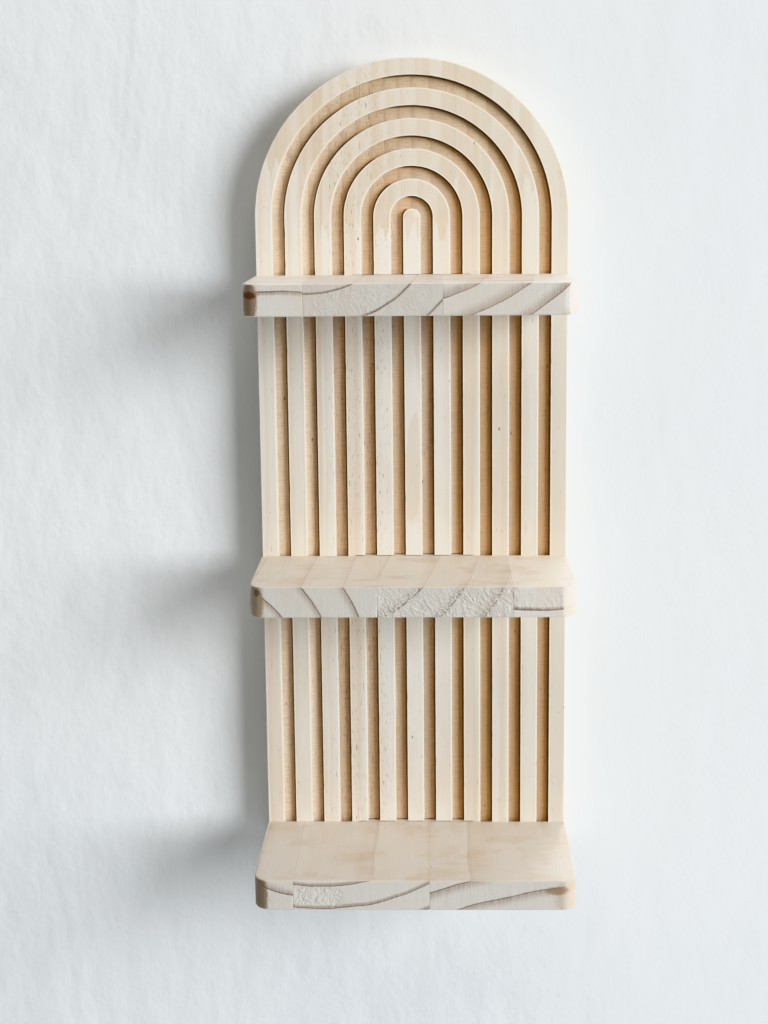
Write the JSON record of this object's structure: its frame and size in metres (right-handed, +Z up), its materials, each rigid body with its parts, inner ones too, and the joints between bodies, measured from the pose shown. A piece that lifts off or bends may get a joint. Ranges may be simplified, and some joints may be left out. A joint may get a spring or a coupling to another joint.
{
  "type": "arched wall shelf",
  "caption": "Tall arched pine wall shelf: a board with nested arch grooves carries rounded ledges for small paint pots and models, and hangs on keyhole plates.",
  "frame": {"origin": "middle of the whole object's box in X and Y, on the plane of the bottom shelf's underside", "axes": "+Z up along the board, +Y towards the wall, -Y the open front, +X to the right as seen from the front"},
  "size_m": [0.201, 0.1, 0.526],
  "materials": {
    "panel_pine": "bare sanded pine, pale cream faces and honey-brown groove floors",
    "shelf_pine": "bare sanded pine with sawn grey-white end grain on the front edges",
    "zinc_steel": "zinc plated, satin"
  },
  "bodies": {
    "root": {"back_panel": "panel_pine", "bottom_shelf": "shelf_pine", "middle_shelf": "shelf_pine", "top_shelf": "shelf_pine", "bottom_shelf_screw_left": "zinc_steel", "bottom_shelf_screw_right": "zinc_steel", "middle_shelf_screw_left": "zinc_steel", "middle_shelf_screw_right": "zinc_steel", "top_shelf_screw_left": "zinc_steel", "top_shelf_screw_right": "zinc_steel", "hanger_plate_left": "zinc_steel", "hanger_plate_right": "zinc_steel", "hanger_screw_left_lower": "zinc_steel", "hanger_screw_left_upper": "zinc_steel", "hanger_screw_right_lower": "zinc_steel", "hanger_screw_right_upper": "zinc_steel"}
  },
  "joints": []
}
